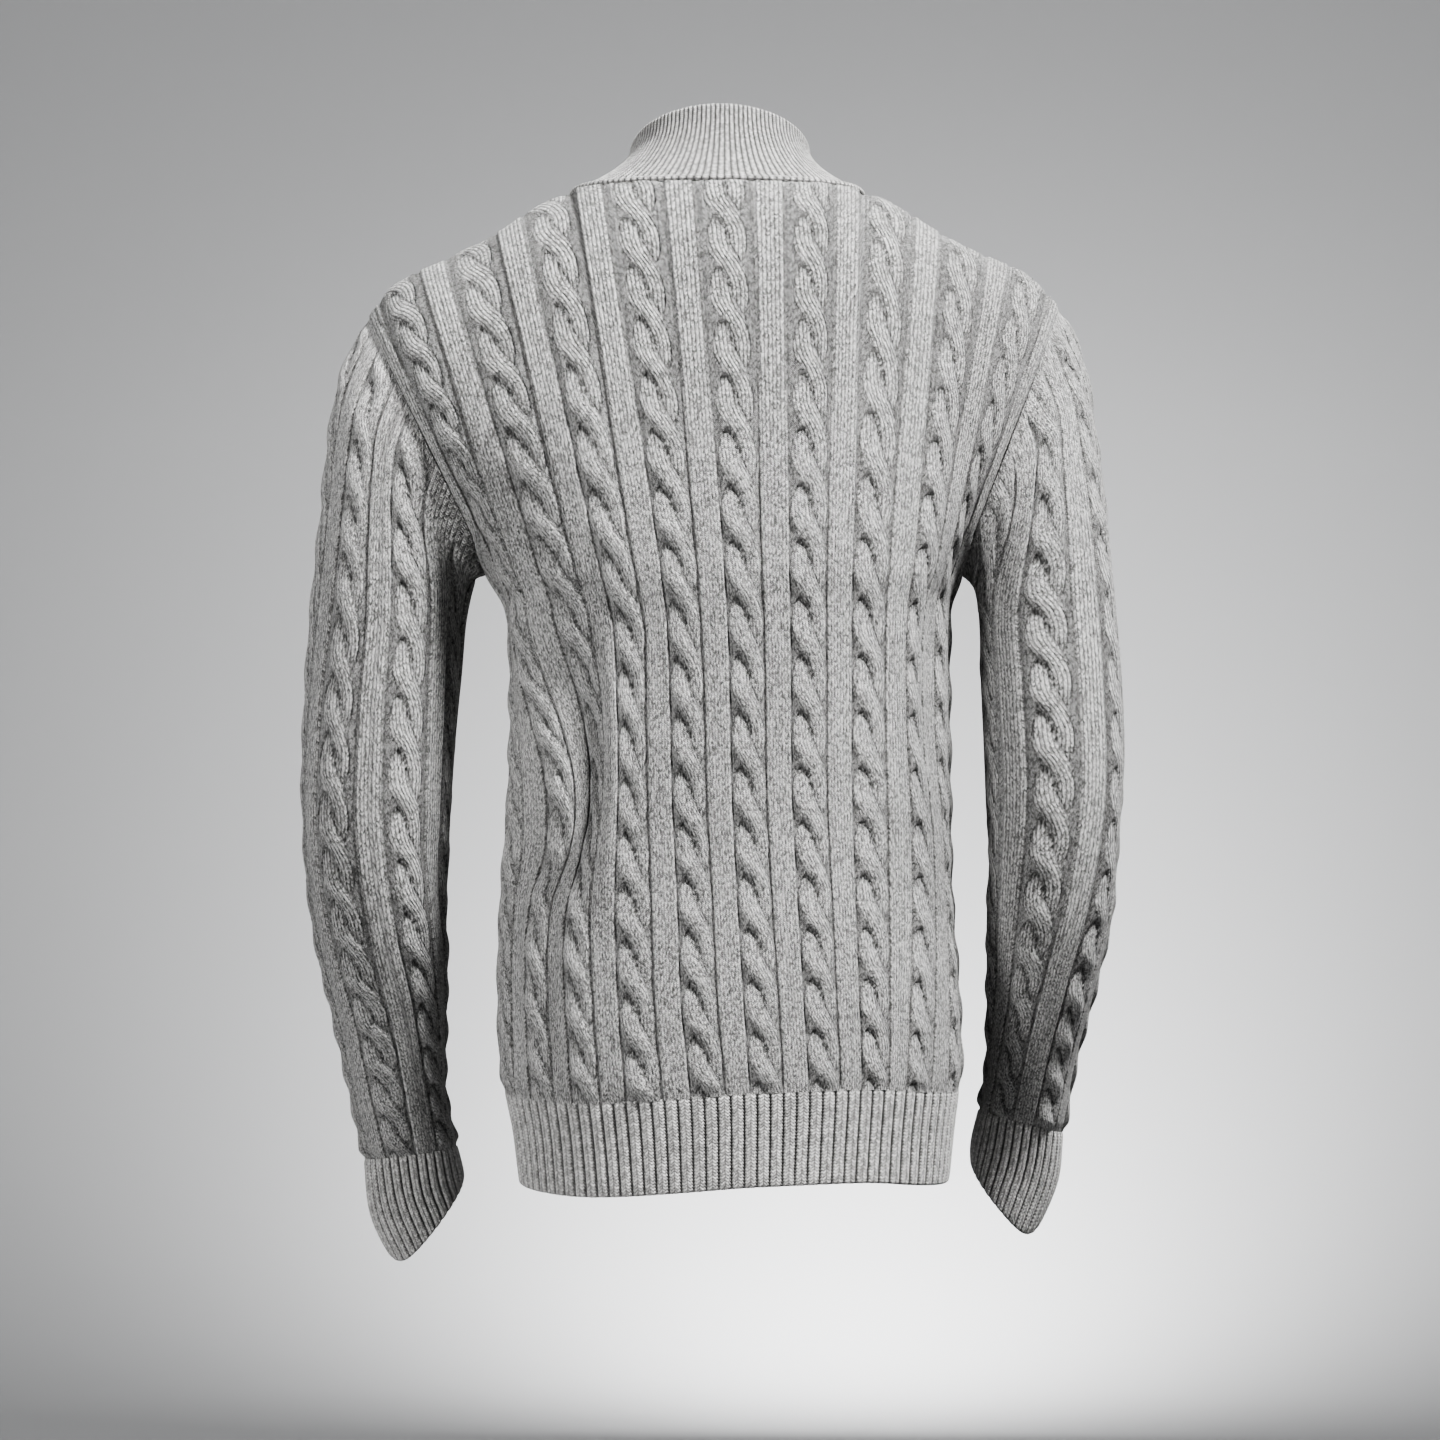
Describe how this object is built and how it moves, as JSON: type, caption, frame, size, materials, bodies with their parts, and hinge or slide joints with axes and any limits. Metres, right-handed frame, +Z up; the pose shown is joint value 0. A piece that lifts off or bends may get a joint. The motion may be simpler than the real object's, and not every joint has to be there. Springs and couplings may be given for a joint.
{
  "type": "cable knit sweater",
  "caption": "Worn long-sleeved cable knit jumper with a ribbed stand collar, ribbed hem and ribbed cuffs, hollow as on its wearer.",
  "frame": {"origin": "centre of the neck at the height of the back neck seam, where the wearer's neck and shoulders hold the jumper", "axes": "+Z up; the wearer faces +Y and the back of the jumper faces -Y; +X towards the wearer's right sleeve"},
  "size_m": [0.5725, 0.2512, 0.7949],
  "materials": {
    "cable_wool": "soft melange wool in cables and plain knit bands, matt and slightly hairy",
    "rib_wool": "soft melange wool in rib knit, matt"
  },
  "bodies": {
    "root": {"back": "cable_wool", "front": "cable_wool", "sleeve_left_upper": "cable_wool", "sleeve_left_elbow": "cable_wool", "sleeve_left_lower": "cable_wool", "sleeve_right_upper": "cable_wool", "sleeve_right_elbow": "cable_wool", "sleeve_right_lower": "cable_wool", "collar": "rib_wool", "hem_back_rib": "rib_wool", "hem_front_rib": "rib_wool", "cuff_left_rib": "rib_wool", "cuff_right_rib": "rib_wool"}
  },
  "joints": []
}
